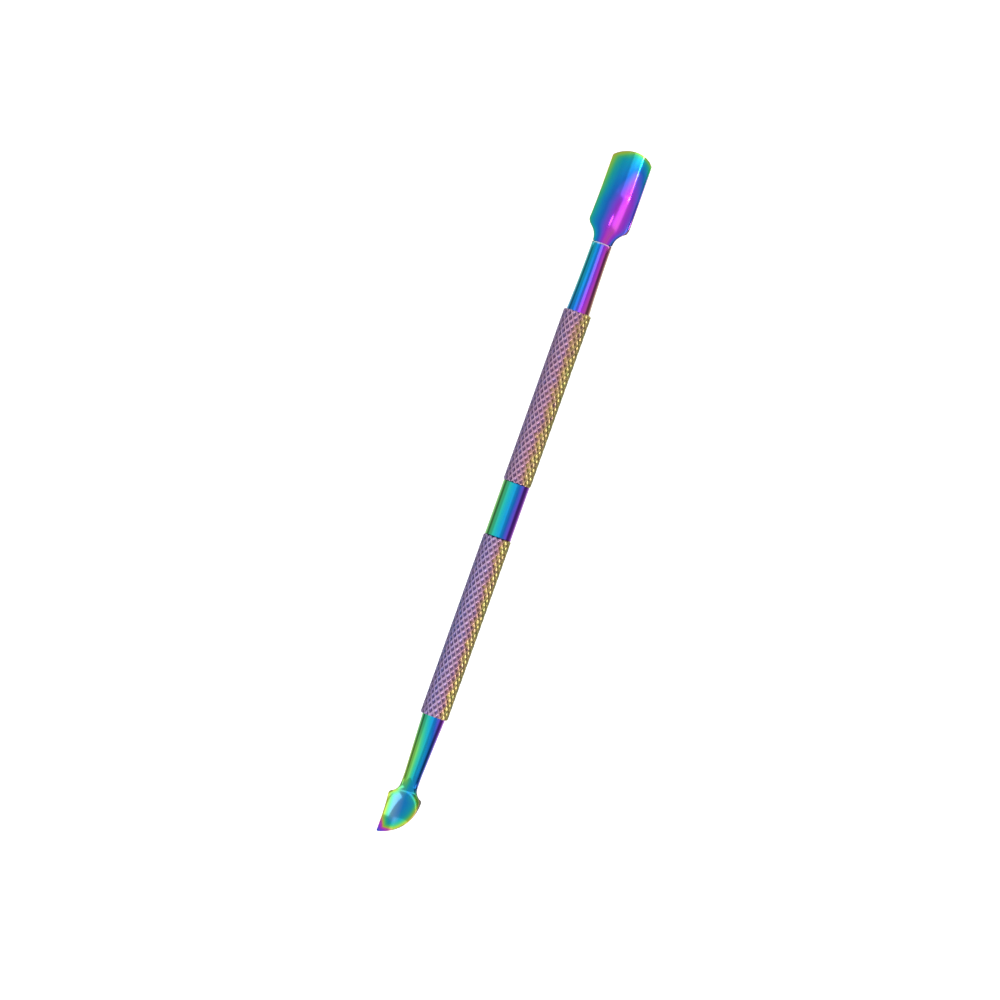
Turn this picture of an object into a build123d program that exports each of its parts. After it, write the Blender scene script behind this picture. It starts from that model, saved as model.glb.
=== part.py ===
"""A two-ended steel cuticle pusher: a spoon head, a knurled handle and a hollow-ground blade.

The tool lies on its back along X, with the spoon at +X, the blade at -X and both hollow
faces up. The two ends reach a little lower than the grips, so it rests on their backs.
The origin is on that resting surface, under the middle of the tool.
"""

import os
from math import acos, asin, cos, degrees, radians, sin, sqrt, tan

from build123d import *

# ---- Lengths that show along the tool, from the spoon to the blade (mm) ----
spoon_length = 18.0
upper_shank_length = 13.5
upper_grip_length = 33.5
band_length = 10.5
lower_grip_length = 35.0
lower_shank_length = 11.5
blade_length = 12.0

# ---- Turned diameters ----
grip_diameter = 5.3
band_diameter = 5.0
shank_diameter = 4.4
neck_diameter = 3.8
blade_waist_diameter = 3.3
grip_chamfer = 0.35
neck_chamfer = 0.3

# ---- Inside the handle: a rod, three sleeves on it, and a spigot pressed into each end ----
rod_diameter = 3.4
sleeve_clearance = 0.03
spigot_diameter = 1.8
spigot_length = 7.0
tang_diameter = 1.4
tang_length = 5.0
press_clearance = 0.01
bore_end_gap = 0.3
rod_end_gap = 0.2
lead_in = 0.2

# ---- How the tool lies ----
rest_gap = 0.25

# ---- Spoon head: outline seen from above ----
spoon_width = 7.64
spoon_tip_radius = 5.0
spoon_corner_radius = 0.8
spoon_side_length = 14.8
spoon_shoulder_angle = 48.0
spoon_shoulder_radius = 1.8
spoon_neck_fillet = 1.6
spoon_neck_margin = 0.7
spoon_flare_radius = 3.2

# ---- Spoon head: curves of its back and its hollow ----
spoon_back_radius = 4.8
spoon_hollow_radius = 5.4
spoon_wall = 0.8
spoon_tip_lift = 0.35
spoon_belly_to_tip = 8.0
spoon_channel_height = 0.75

# ---- Blade: outline seen from above ----
blade_point_side = 3.15
blade_curved_side = 2.95
blade_side_length = 7.85
blade_edge_bulge = 1.8
blade_shoulder_angle = 52.0
blade_shoulder_radius = 0.9
blade_neck_fillet = 0.8
blade_neck_margin = 0.5
blade_point_radius = 0.2
blade_neck_straight = 2.05
blade_flare_radius = 2.0

# ---- Blade: curves of its back and its hollow ----
blade_back_radius = 4.2
blade_hollow_radius = 4.6
blade_wall = 0.7
blade_point_lift = 0.5
blade_belly_to_tip = 4.5
blade_run_out_radius = 4.5
blade_dish_radius = 8.5

# ---- Cutters run past the metal by this much, and flares widen past the outline ----
overrun = 1.0
flare_turn = 88.0

# ---- Places that follow from the sizes above ----
grips_length = upper_grip_length + band_length + lower_grip_length
overall_length = (
    spoon_length + upper_shank_length + grips_length + lower_shank_length + blade_length
)
spoon_tip_x = overall_length / 2
neck_x = spoon_tip_x - spoon_length
upper_grip_x = neck_x - upper_shank_length
upper_band_x = upper_grip_x - upper_grip_length
lower_band_x = upper_band_x - band_length
lower_grip_x = lower_band_x - lower_grip_length
waist_x = lower_grip_x - lower_shank_length
blade_tip_x = -overall_length / 2

neck_radius = neck_diameter / 2
shank_radius = shank_diameter / 2
waist_radius = blade_waist_diameter / 2
sleeve_bore_radius = rod_diameter / 2 + sleeve_clearance
belly_depth = grip_diameter / 2 + rest_gap
axis_z = belly_depth

tool_axis = Axis((0, 0, axis_z), (1, 0, 0))
turning_plane = Plane(origin=(0, 0, axis_z), x_dir=(1, 0, 0), z_dir=(0, -1, 0))
outline_height = 4 * belly_depth
flare_widening = 1 - cos(radians(flare_turn))

os.makedirs("parts", exist_ok=True)


# ---- Core rod: runs through all three sleeves, bored at each end for a spigot ----
with BuildPart() as core_rod:
    with BuildSketch(Plane.YZ.offset(lower_grip_x + rod_end_gap)):
        with Locations((0, axis_z)):
            Circle(rod_diameter / 2)
    extrude(amount=grips_length - 2 * rod_end_gap)
    rod_ends = core_rod.faces().filter_by(Axis.X)
    chamfer(rod_ends.edges(), lead_in)
    bore_depth = spigot_length - rod_end_gap + bore_end_gap
    for end_plane in (
        Plane(origin=(upper_grip_x - rod_end_gap, 0, axis_z), z_dir=(1, 0, 0)),
        Plane(origin=(lower_grip_x + rod_end_gap, 0, axis_z), z_dir=(-1, 0, 0)),
    ):
        with Locations(end_plane):
            Hole(spigot_diameter / 2 + press_clearance, depth=bore_depth)

core_rod.part.label = "core_rod"
export_step(core_rod.part, "parts/core_rod.step")


# ---- Upper grip: the knurled sleeve next to the spoon ----
with BuildPart() as upper_grip:
    with BuildSketch(Plane.YZ.offset(upper_band_x)):
        with Locations((0, axis_z)):
            Circle(grip_diameter / 2)
            Circle(sleeve_bore_radius, mode=Mode.SUBTRACT)
    extrude(amount=upper_grip_length)
    rims = upper_grip.edges().filter_by(GeomType.CIRCLE).group_by(SortBy.RADIUS)[-1]
    chamfer(rims, grip_chamfer)

upper_grip.part.label = "upper_grip"
export_step(upper_grip.part, "parts/upper_grip.step")


# ---- Centre band: the smooth sleeve between the grips ----
with BuildPart() as centre_band:
    with BuildSketch(Plane.YZ.offset(lower_band_x)):
        with Locations((0, axis_z)):
            Circle(band_diameter / 2)
            Circle(sleeve_bore_radius, mode=Mode.SUBTRACT)
    extrude(amount=band_length)

centre_band.part.label = "centre_band"
export_step(centre_band.part, "parts/centre_band.step")


# ---- Lower grip: the knurled sleeve next to the blade ----
with BuildPart() as lower_grip:
    with BuildSketch(Plane.YZ.offset(lower_grip_x)):
        with Locations((0, axis_z)):
            Circle(grip_diameter / 2)
            Circle(sleeve_bore_radius, mode=Mode.SUBTRACT)
    extrude(amount=lower_grip_length)
    rims = lower_grip.edges().filter_by(GeomType.CIRCLE).group_by(SortBy.RADIUS)[-1]
    chamfer(rims, grip_chamfer)

lower_grip.part.label = "lower_grip"
export_step(lower_grip.part, "parts/lower_grip.step")


# ---- Upper shank: a turned taper, with a spigot for the rod and a bore for the tang ----
with BuildPart() as upper_shank:
    with BuildSketch(turning_plane):
        with BuildLine():
            Polyline(
                (neck_x - neck_chamfer, neck_radius),
                (neck_x, neck_radius - neck_chamfer),
                (neck_x, 0),
                (upper_grip_x - spigot_length, 0),
                (upper_grip_x - spigot_length, spigot_diameter / 2 - lead_in),
                (upper_grip_x - spigot_length + lead_in, spigot_diameter / 2),
                (upper_grip_x, spigot_diameter / 2),
                (upper_grip_x, shank_radius),
            )
            TangentArc(
                (neck_x - neck_chamfer, neck_radius),
                (upper_grip_x, shank_radius),
                tangent=(-1, 0),
            )
        make_face()
    revolve(axis=tool_axis)
    with Locations(Plane(origin=(neck_x, 0, axis_z), z_dir=(1, 0, 0))):
        Hole(tang_diameter / 2 + press_clearance, depth=tang_length + bore_end_gap)

upper_shank.part.label = "upper_shank"
export_step(upper_shank.part, "parts/upper_shank.step")


# ---- Spoon head: a dished plate that grows out of a round neck, with a tang behind it ----
spoon_half_width = spoon_width / 2
spoon_neck_half_width = neck_radius + spoon_neck_margin
spoon_shoulder_x = spoon_tip_x - spoon_side_length
spoon_belly_x = spoon_tip_x - spoon_belly_to_tip
spoon_shoulder_drop = spoon_half_width - spoon_neck_half_width
spoon_neck_corner_x = spoon_shoulder_x - spoon_shoulder_drop / tan(radians(spoon_shoulder_angle))
spoon_arc_depth = spoon_tip_radius - sqrt(spoon_tip_radius**2 - spoon_half_width**2)
spoon_corner_x = spoon_tip_x - spoon_arc_depth

# The back runs level from the neck to the belly, then turns up to the tip.
spoon_back_curve = spoon_belly_to_tip**2 / (2 * spoon_tip_lift)
spoon_back_turn = degrees((spoon_belly_to_tip + overrun) / spoon_back_curve)

# The hollow runs level from the tip to the belly, then turns up into the neck.
spoon_floor = spoon_wall - belly_depth
spoon_channel_rise = spoon_channel_height - spoon_floor
spoon_channel_length = spoon_belly_x - neck_x
spoon_channel_curve = (spoon_channel_length**2 + spoon_channel_rise**2) / (2 * spoon_channel_rise)
spoon_channel_turn = degrees(asin(spoon_channel_length / spoon_channel_curve))

with BuildPart() as spoon_head:
    with BuildSketch(turning_plane):
        with BuildLine():
            spoon_flare = JernArc((neck_x, neck_radius), (1, 0), spoon_flare_radius, flare_turn)
            Polyline(
                spoon_flare @ 1,
                (spoon_tip_x + overrun, neck_radius + spoon_flare_radius * flare_widening),
                (spoon_tip_x + overrun, 0),
                (neck_x, 0),
                (neck_x, neck_radius),
            )
        make_face()
    revolve(axis=tool_axis)

    with BuildSketch(Plane.XY) as spoon_outline:
        with BuildLine():
            ThreePointArc(
                (spoon_corner_x, -spoon_half_width),
                (spoon_tip_x, 0),
                (spoon_corner_x, spoon_half_width),
            )
            Polyline(
                (spoon_corner_x, spoon_half_width),
                (spoon_shoulder_x, spoon_half_width),
                (spoon_neck_corner_x, spoon_neck_half_width),
                (neck_x, spoon_neck_half_width),
                (neck_x, -spoon_neck_half_width),
                (spoon_neck_corner_x, -spoon_neck_half_width),
                (spoon_shoulder_x, -spoon_half_width),
                (spoon_corner_x, -spoon_half_width),
            )
        make_face()
        spoon_corners = spoon_outline.vertices().group_by(Axis.X)
        fillet(spoon_corners[-1], spoon_corner_radius)
        fillet(spoon_corners[-2], spoon_shoulder_radius)
        fillet(spoon_corners[-3], spoon_neck_fillet)
    extrude(amount=outline_height, mode=Mode.INTERSECT)

    with BuildLine(turning_plane) as spoon_back_line:
        level_back = Line((neck_x - overrun, -belly_depth), (spoon_belly_x, -belly_depth))
        JernArc(level_back @ 1, (1, 0), spoon_back_curve, spoon_back_turn)
    with BuildSketch(Plane(spoon_back_line.line @ 0, x_dir=(0, 1, 0), z_dir=(1, 0, 0))):
        Circle(spoon_back_radius, align=(Align.CENTER, Align.MIN))
    sweep(path=spoon_back_line.line, mode=Mode.INTERSECT)

    with BuildLine(turning_plane) as spoon_floor_line:
        level_floor = Line((spoon_tip_x + overrun, spoon_floor), (spoon_belly_x, spoon_floor))
        channel = JernArc(level_floor @ 1, (-1, 0), spoon_channel_curve, -spoon_channel_turn)
        Line(channel @ 1, channel @ 1 + channel % 1 * spoon_hollow_radius)
    with BuildSketch(Plane(spoon_floor_line.line @ 0, x_dir=(0, -1, 0), z_dir=(-1, 0, 0))):
        Circle(spoon_hollow_radius, align=(Align.CENTER, Align.MIN))
    sweep(path=spoon_floor_line.line, mode=Mode.SUBTRACT)

    with BuildSketch(Plane.YZ.offset(neck_x)):
        with Locations((0, axis_z)):
            Circle(tang_diameter / 2)
    extrude(amount=-tang_length)
    chamfer(spoon_head.faces().sort_by(Axis.X)[0].edges(), lead_in)

spoon_head.part.label = "spoon_head"
export_step(spoon_head.part, "parts/spoon_head.step")


# ---- Blade: a turned shank that widens into a hollow-ground leaf with its point to one side ----
blade_neck_half_width = waist_radius + blade_neck_margin
blade_shoulder_x = blade_tip_x + blade_side_length
blade_belly_x = blade_tip_x + blade_belly_to_tip
blade_slope = tan(radians(blade_shoulder_angle))
point_corner_x = blade_shoulder_x + (blade_point_side - blade_neck_half_width) / blade_slope
curved_corner_x = blade_shoulder_x + (blade_curved_side - blade_neck_half_width) / blade_slope
shank_half_width = shank_radius + overrun
blade_neck_x = waist_x - blade_neck_straight

# The back runs level from the shank to the belly, then turns up to the point.
blade_back_curve = blade_belly_to_tip**2 / (2 * blade_point_lift)
blade_back_turn = degrees((blade_belly_to_tip + overrun) / blade_back_curve)

# The hollow leaves the top of the shank along it, dips, and levels out in the dish.
blade_floor = blade_wall - belly_depth
blade_dip = waist_radius - blade_floor
blade_dip_curves = blade_run_out_radius + blade_dish_radius
blade_dip_angle = degrees(acos(1 - blade_dip / blade_dip_curves))
dish_end_x = waist_x - blade_dip_curves * sin(radians(blade_dip_angle))

# The hollow's cutter is a round-bottomed slot, and stays lower than the curve it follows.
blade_cutter_height = blade_dish_radius - overrun

with BuildPart() as blade:
    with BuildSketch(turning_plane):
        with BuildLine():
            shank_side = Line((lower_grip_x, shank_radius), (waist_x, waist_radius))
            blade_neck = Line(shank_side @ 1, (blade_neck_x, waist_radius))
            blade_flare = JernArc(blade_neck @ 1, (-1, 0), blade_flare_radius, -flare_turn)
            Polyline(
                blade_flare @ 1,
                (blade_tip_x - overrun, waist_radius + blade_flare_radius * flare_widening),
                (blade_tip_x - overrun, 0),
                (lower_grip_x, 0),
                (lower_grip_x, shank_radius),
            )
        make_face()
    revolve(axis=tool_axis)

    with BuildSketch(Plane.XY) as blade_outline:
        with BuildLine():
            Polyline(
                (blade_tip_x, blade_point_side),
                (blade_shoulder_x, blade_point_side),
                (point_corner_x, blade_neck_half_width),
                (waist_x, blade_neck_half_width),
                (waist_x, shank_half_width),
                (lower_grip_x, shank_half_width),
                (lower_grip_x, -shank_half_width),
                (waist_x, -shank_half_width),
                (waist_x, -blade_neck_half_width),
                (curved_corner_x, -blade_neck_half_width),
                (blade_shoulder_x, -blade_curved_side),
            )
            SagittaArc(
                (blade_shoulder_x, -blade_curved_side),
                (blade_tip_x, blade_point_side),
                blade_edge_bulge,
            )
        make_face()
        blade_corners = blade_outline.vertices().sort_by(Axis.X)
        fillet(blade_corners[0], blade_point_radius)
        fillet(blade_corners[1:3], blade_shoulder_radius)
        fillet(blade_corners[3:5], blade_neck_fillet)
    extrude(amount=outline_height, mode=Mode.INTERSECT)

    with BuildLine(turning_plane) as blade_back_line:
        level_back = Line((lower_grip_x + overrun, -belly_depth), (blade_belly_x, -belly_depth))
        JernArc(level_back @ 1, (-1, 0), blade_back_curve, -blade_back_turn)
    with BuildSketch(Plane(blade_back_line.line @ 0, x_dir=(0, -1, 0), z_dir=(-1, 0, 0))):
        Circle(blade_back_radius, align=(Align.CENTER, Align.MIN))
    sweep(path=blade_back_line.line, mode=Mode.INTERSECT)

    with BuildLine(turning_plane) as blade_floor_line:
        level_dish = Line((blade_tip_x - overrun, blade_floor), (dish_end_x, blade_floor))
        rise = JernArc(level_dish @ 1, (1, 0), blade_dish_radius, blade_dip_angle)
        JernArc(rise @ 1, rise % 1, blade_run_out_radius, -blade_dip_angle)
    with BuildSketch(Plane(blade_floor_line.line @ 0, x_dir=(0, 1, 0), z_dir=(1, 0, 0))):
        with BuildLine():
            ThreePointArc(
                (-blade_hollow_radius, blade_hollow_radius),
                (0, 0),
                (blade_hollow_radius, blade_hollow_radius),
            )
            Polyline(
                (blade_hollow_radius, blade_hollow_radius),
                (blade_hollow_radius, blade_cutter_height),
                (-blade_hollow_radius, blade_cutter_height),
                (-blade_hollow_radius, blade_hollow_radius),
            )
        make_face()
    sweep(path=blade_floor_line.line, mode=Mode.SUBTRACT)

    with BuildSketch(Plane.YZ.offset(lower_grip_x)):
        with Locations((0, axis_z)):
            Circle(spigot_diameter / 2)
    extrude(amount=spigot_length)
    chamfer(blade.faces().sort_by(Axis.X)[-1].edges(), lead_in)

blade.part.label = "blade"
export_step(blade.part, "parts/blade.step")
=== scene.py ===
# %% [markdown]
# # A rainbow-coated cuticle pusher
# The tool is a slim steel bar, 134 mm long: a spoon head at one end, a hollow-ground blade at the
# other, and a knurled handle between them. The CAD model fixes every size. This lesson makes the
# fine surfaces that a turner, a grinder and a coating oven would leave on it, piece by piece.

# %% Load the fixed frame
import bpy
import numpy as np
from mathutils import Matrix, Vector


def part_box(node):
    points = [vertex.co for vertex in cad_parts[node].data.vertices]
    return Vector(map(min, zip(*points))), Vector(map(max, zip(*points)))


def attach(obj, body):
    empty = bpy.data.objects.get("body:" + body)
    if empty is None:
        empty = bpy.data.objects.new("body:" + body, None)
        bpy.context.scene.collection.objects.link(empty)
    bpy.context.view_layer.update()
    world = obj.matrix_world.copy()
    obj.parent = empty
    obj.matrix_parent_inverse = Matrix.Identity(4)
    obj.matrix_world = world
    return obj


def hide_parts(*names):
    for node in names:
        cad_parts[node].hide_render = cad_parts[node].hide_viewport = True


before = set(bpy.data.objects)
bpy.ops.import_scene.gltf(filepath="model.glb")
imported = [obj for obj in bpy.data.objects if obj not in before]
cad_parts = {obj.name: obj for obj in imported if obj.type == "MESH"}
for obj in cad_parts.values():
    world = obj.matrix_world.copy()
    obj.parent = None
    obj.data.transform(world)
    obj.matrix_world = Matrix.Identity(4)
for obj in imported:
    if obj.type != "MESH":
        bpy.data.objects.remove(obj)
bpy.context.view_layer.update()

# %% [markdown]
# ## Where the pieces are
# The CAD nodes say where each piece starts and ends along the tool, and how high the tool's axis
# is above the table. Reading them here, rather than typing them again, keeps the two models in
# one place.

mm = 0.001
band_low, band_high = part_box("centre_band")
upper_grip_low, upper_grip_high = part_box("upper_grip")
lower_grip_low, lower_grip_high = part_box("lower_grip")
spoon_low, spoon_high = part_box("spoon_head")
neck_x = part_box("upper_shank")[1].x
blade_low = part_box("blade")[0]

axis_z = (band_low.z + band_high.z) / 2
belly_depth = axis_z - blade_low.z
spoon_tip_x = spoon_high.x
print(f"axis {axis_z / mm:.2f} mm up, neck at {neck_x / mm:.1f} mm")

# %% [markdown]
# ## Sums with sockets
# A shader is a chain of small sums. Writing each as a node by hand takes five lines, so this class
# wraps one socket and lets Python's own signs add the Math nodes. A second class is the bench that
# any other node comes from: its settings go in first, then its values and links.

# %% A socket that can be added and multiplied
class Wire:
    def __init__(self, tree, socket):
        self.tree = tree
        self.socket = socket

    def sum(self, operation, *values):
        node = self.tree.nodes.new("ShaderNodeMath")
        node.operation = operation
        plug(self.tree, node.inputs, enumerate(values))
        return Wire(self.tree, node.outputs[0])

    def __add__(self, other):
        return self.sum("ADD", self, other)

    def __sub__(self, other):
        return self.sum("SUBTRACT", self, other)

    def __rsub__(self, other):
        return self.sum("SUBTRACT", other, self)

    def __mul__(self, other):
        return self.sum("MULTIPLY", self, other)

    def __truediv__(self, other):
        return self.sum("DIVIDE", self, other)

    def __abs__(self):
        return self.sum("ABSOLUTE", self)

    __radd__ = __add__
    __rmul__ = __mul__


def plug(tree, sockets, values):
    for key, value in values:
        if isinstance(value, Wire):
            tree.links.new(value.socket, sockets[key])
        else:
            sockets[key].default_value = value


# %% A bench that makes any other node
class Bench:
    def __init__(self, tree):
        self.tree = tree

    def node(self, kind, settings=None, values=None, output=0):
        made = self.tree.nodes.new(kind)
        for name, setting in (settings or {}).items():
            if name == "stops":
                set_stops(made.color_ramp, setting)
            else:
                setattr(made, name, setting)
        plug(self.tree, made.inputs, (values or {}).items())
        return Wire(self.tree, made.outputs[output])


def set_stops(ramp, stops):
    ramp.interpolation = "LINEAR"
    while len(ramp.elements) < len(stops):
        ramp.elements.new(1.0)
    for element, (place, colour) in zip(ramp.elements, stops):
        element.position = place
        element.color = (*colour, 1.0)


# %% Colours are written the way a paint card gives them
def paint(red, green, blue):
    """A card's numbers, 0 to 255, as the linear light that a shader works with."""
    card = np.array([red, green, blue]) / 255
    linear = np.where(card <= 0.04045, card / 12.92, ((card + 0.055) / 1.055) ** 2.4)
    return tuple(linear.tolist())


# %% [markdown]
# ## The rainbow
# The colour is no dye. A clear oxide a few hundred nanometres thick cancels one colour of the
# light and lets the others back, and as the oxide grows the colours follow in a fixed order:
# yellow-green, teal, blue, violet, magenta, pink, gold, and round again. So one number, the film
# phase, is enough for any place on the tool. Each mesh carries it as a point on a circle, a cosine
# and a sine, because a plain number would jump from 1 to 0 where the rainbow starts again.

# %% The order of the colours
rainbow = [
    (0.00, paint(168, 196, 62)),
    (0.08, paint(118, 204, 92)),
    (0.17, paint(62, 190, 130)),
    (0.26, paint(26, 176, 164)),
    (0.34, paint(0, 160, 192)),
    (0.42, paint(0, 136, 208)),
    (0.50, paint(12, 108, 208)),
    (0.57, paint(78, 96, 226)),
    (0.64, paint(124, 76, 232)),
    (0.72, paint(156, 52, 222)),
    (0.80, paint(198, 62, 212)),
    (0.87, paint(196, 84, 168)),
    (0.93, paint(204, 132, 130)),
    (0.97, paint(206, 176, 96)),
    (1.00, paint(168, 196, 62)),
]


def film_phase(bench):
    film = bench.node("ShaderNodeAttribute", {"attribute_name": "film"}, output="Vector")
    parts = bench.node("ShaderNodeSeparateXYZ", values={"Vector": film})
    cosine = Wire(bench.tree, parts.socket.node.outputs["X"])
    sine = Wire(bench.tree, parts.socket.node.outputs["Y"])
    # The third number is how much painted highlight, the pale steel colour, lies over the rainbow.
    painted_highlight = Wire(bench.tree, parts.socket.node.outputs["Z"])
    return sine.sum("ARCTAN2", sine, cosine) / (2 * np.pi), painted_highlight


# %% [markdown]
# ## Polished coating
# The heads, the shanks and the band are buffed to a mirror before they are coated. A mirror still
# has faint lines along the buffing direction and small clouds where the oxide grew a little
# thicker, and that is what stops it from looking like plastic.

# %% The polished rainbow finish
def new_material(name):
    material = bpy.data.materials.new(name)
    material.use_nodes = True
    tree = material.node_tree
    return material, Bench(tree), tree.nodes["Principled BSDF"]


def noise(bench, place, scale, detail):
    values = {"Vector": place, "Scale": scale, "Detail": detail}
    return bench.node("ShaderNodeTexNoise", values=values)


def drift(phase, patches, share):
    """The phase, a little ahead or behind from patch to patch, brought back to 0 to 1."""
    turn = phase + (patches - 0.5) * share + 1.0
    return turn.sum("FRACT", turn)


cloud_scale, cloud_drift = 260.0, 0.035
buffing_scale = (600.0, 9000.0, 9000.0)
# The pale steel colour of the painted highlights, laid over the rainbow on the neck's rim and in
# the blade's dish.
painted_highlight_steel = (*paint(250, 226, 234), 1.0)


def polished_finish():
    material, bench, shader = new_material("polished_rainbow_steel")
    phase, painted_highlight = film_phase(bench)
    place = bench.node("ShaderNodeTexCoord", output="Object")
    lines = bench.node("ShaderNodeMapping", values={"Vector": place, "Scale": buffing_scale})
    buffing = noise(bench, lines, 1.0, 4.0)
    turn = drift(phase, noise(bench, place, cloud_scale, 3.0), cloud_drift)
    colour = bench.node("ShaderNodeValToRGB", {"stops": rainbow}, {"Fac": turn})
    # Where the mesh asks for it, the painted highlight's pale steel colour is mixed over the
    # rainbow.
    with_painted_highlight = bench.node(
        "ShaderNodeMix", {"data_type": "RGBA"}, {0: painted_highlight, 6: colour, 7: painted_highlight_steel}, output=2
    )
    bump = bench.node(
        "ShaderNodeBump", values={"Height": buffing, "Strength": 0.06, "Distance": 0.02 * mm}
    )
    plug(bench.tree, shader.inputs, [
        ("Base Color", with_painted_highlight), ("Roughness", 0.09 + buffing * 0.1), ("Normal", bump),
        ("Metallic", 1.0), ("Coat Weight", 0.3), ("Coat Roughness", 0.04),
    ])
    return material


polished = polished_finish()
print("polished finish:", len(polished.node_tree.nodes), "nodes")

# %% [markdown]
# ## Knurled coating
# Knurling is pressed, not cut, so its crests are burnished smoother than its pits. The coating is
# painted paler on the crests, a painted highlight, and darker in the pits, a painted shade, and
# its colours are greyer than on the mirror.

# %% The knurled rainbow finish
# Crest colours are paler than the film: a painted highlight on the crests.
crest_highlight_colours = [
    (0.00, paint(240, 220, 144)),
    (0.10, paint(200, 208, 146)),
    (0.30, paint(146, 190, 186)),
    (0.48, paint(156, 172, 206)),
    (0.60, paint(178, 160, 206)),
    (0.70, paint(192, 160, 190)),
    (0.82, paint(198, 150, 172)),
    (0.90, paint(216, 164, 142)),
    (1.00, paint(240, 220, 144)),
]
# Pit colours are darker than the film: a painted shade in the pits.
pit_shade_colours = [
    (0.00, paint(170, 148, 84)),
    (0.10, paint(112, 132, 74)),
    (0.30, paint(44, 102, 108)),
    (0.48, paint(76, 92, 144)),
    (0.60, paint(100, 88, 138)),
    (0.70, paint(112, 90, 128)),
    (0.82, paint(116, 84, 116)),
    (0.90, paint(134, 98, 92)),
    (1.00, paint(182, 160, 92)),
]


grain_scale, patch_scale = 2200.0, 700.0
crest_drift, pit_drift = 0.12, 0.5


def knurled_finish():
    material, bench, shader = new_material("knurled_rainbow_steel")
    phase, _ = film_phase(bench)
    place = bench.node("ShaderNodeTexCoord", output="Object")
    grain = noise(bench, place, grain_scale, 4.0)
    patches = noise(bench, place, patch_scale, 2.0)
    crest_highlight, pit_shade = (
        bench.node("ShaderNodeValToRGB", {"stops": stops}, {"Fac": drift(phase, patches, share)})
        for stops, share in ((crest_highlight_colours, crest_drift), (pit_shade_colours, pit_drift))
    )
    ridge = bench.node("ShaderNodeAttribute", {"attribute_name": "ridge"}, output="Fac")
    # The crests' painted highlight on the lines, the pits' painted shade between them.
    share = ridge * ridge * ridge * 0.9 + (grain - 0.5) * 0.4
    colour = bench.node(
        "ShaderNodeMix", {"data_type": "RGBA"}, {0: share, 6: pit_shade, 7: crest_highlight}, output=2
    )
    bump = bench.node(
        "ShaderNodeBump", values={"Height": grain, "Strength": 0.25, "Distance": 0.03 * mm}
    )
    roughness = 0.4 - ridge * 0.18 + (grain - 0.5) * 0.12
    plug(bench.tree, shader.inputs, [
        ("Base Color", colour), ("Roughness", roughness), ("Normal", bump), ("Metallic", 1.0),
    ])
    return material


knurled = knurled_finish()
print("knurled finish:", len(knurled.node_tree.nodes), "nodes")

# %% [markdown]
# ## Plain steel
# The core rod is never coated, because it is inside the handle. Turning leaves fine rings on it.

# %% The plain turned steel of the core rod
turning_scale = (9000.0, 300.0, 300.0)


def plain_finish():
    material, bench, shader = new_material("plain_steel")
    place = bench.node("ShaderNodeTexCoord", output="Object")
    rings = bench.node("ShaderNodeMapping", values={"Vector": place, "Scale": turning_scale})
    turning = noise(bench, rings, 1.0, 3.0)
    colour = bench.node(
        "ShaderNodeValToRGB",
        {"stops": [(0.3, paint(150, 150, 154)), (0.7, paint(204, 204, 206))]},
        {"Fac": turning},
    )
    plug(bench.tree, shader.inputs, [("Base Color", colour), ("Roughness", 0.25 + turning * 0.2)])
    shader.inputs["Metallic"].default_value = 1.0
    return material


core_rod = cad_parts["core_rod"]
core_rod.data.materials.clear()
core_rod.data.materials.append(plain_finish())

# %% [markdown]
# ## Skins
# Every piece here is a long shape with a closed section, so one helper can make them all: a list
# of rings, joined ring to ring. The ends are closed with a fan of faces, or, for a sleeve, the
# last ring joins the first round the bore.

# %% Join rings into a closed skin
def skin(name, rings, phase, painted_highlight, material, sleeve=False):
    count, around, _ = rings.shape
    last = count if sleeve else count - 1
    row = np.repeat(np.arange(last), around)
    column = np.tile(np.arange(around), last)
    next_row, next_column = (row + 1) % count, (column + 1) % around
    quads = np.stack(
        [row * around + column, row * around + next_column,
         next_row * around + next_column, next_row * around + column], axis=1
    )
    faces = quads.tolist()
    points = rings.reshape(-1, 3)
    turn = 2 * np.pi * phase
    film = np.stack([np.cos(turn), np.sin(turn), painted_highlight], axis=2).reshape(-1, 3)
    if not sleeve:
        for end, step in ((0, 1), (count - 1, -1)):
            hub = len(points)
            points = np.vstack([points, rings[end].mean(axis=0)])
            film = np.vstack([film, film[end * around:(end + 1) * around].mean(axis=0)])
            for k in range(around):
                pair = (end * around + k, end * around + (k + 1) % around)
                faces.append((hub, *pair[::-step]))
    mesh = bpy.data.meshes.new(name)
    mesh.from_pydata(points.tolist(), [], faces)
    mesh.materials.append(material)
    attribute = mesh.attributes.new("film", "FLOAT_VECTOR", "POINT")
    attribute.data.foreach_set("vector", film.astype(np.float32).ravel())
    turn_outwards(mesh)
    piece = bpy.data.objects.new(name, mesh)
    bpy.context.scene.collection.objects.link(piece)
    return piece


# %% Faces point outwards and only real corners stay sharp
import bmesh

corner_angle = np.radians(38)


def turn_outwards(mesh):
    work = bmesh.new()
    work.from_mesh(mesh)
    if work.calc_volume(signed=True) < 0:
        bmesh.ops.reverse_faces(work, faces=work.faces)
    work.to_mesh(mesh)
    work.free()
    mesh.shade_smooth()
    mesh.set_sharp_from_angle(angle=corner_angle)


# %% Say what a finished piece is to the frame
def finish_piece(piece, node):
    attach(piece, "root")
    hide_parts(node)
    mesh = piece.data
    mesh.calc_loop_triangles()
    low = np.array([v.co for v in mesh.vertices]).min(axis=0) / mm
    high = np.array([v.co for v in mesh.vertices]).max(axis=0) / mm
    print(piece.name, len(mesh.loop_triangles), "triangles,",
          "from", low.round(2), "to", high.round(2))


# %% [markdown]
# ## Turned pieces
# A shank or a band is turned between centres, so its skin is one profile spun round the axis.
# The rainbow lies along such a piece in stripes, because the oxide grew thicker on the side that
# faced the burner. The list for each piece gives that: an angle round the axis, and the phase
# there. One trip round the tool is exactly one trip round the rainbow, so the stripes meet.

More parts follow.
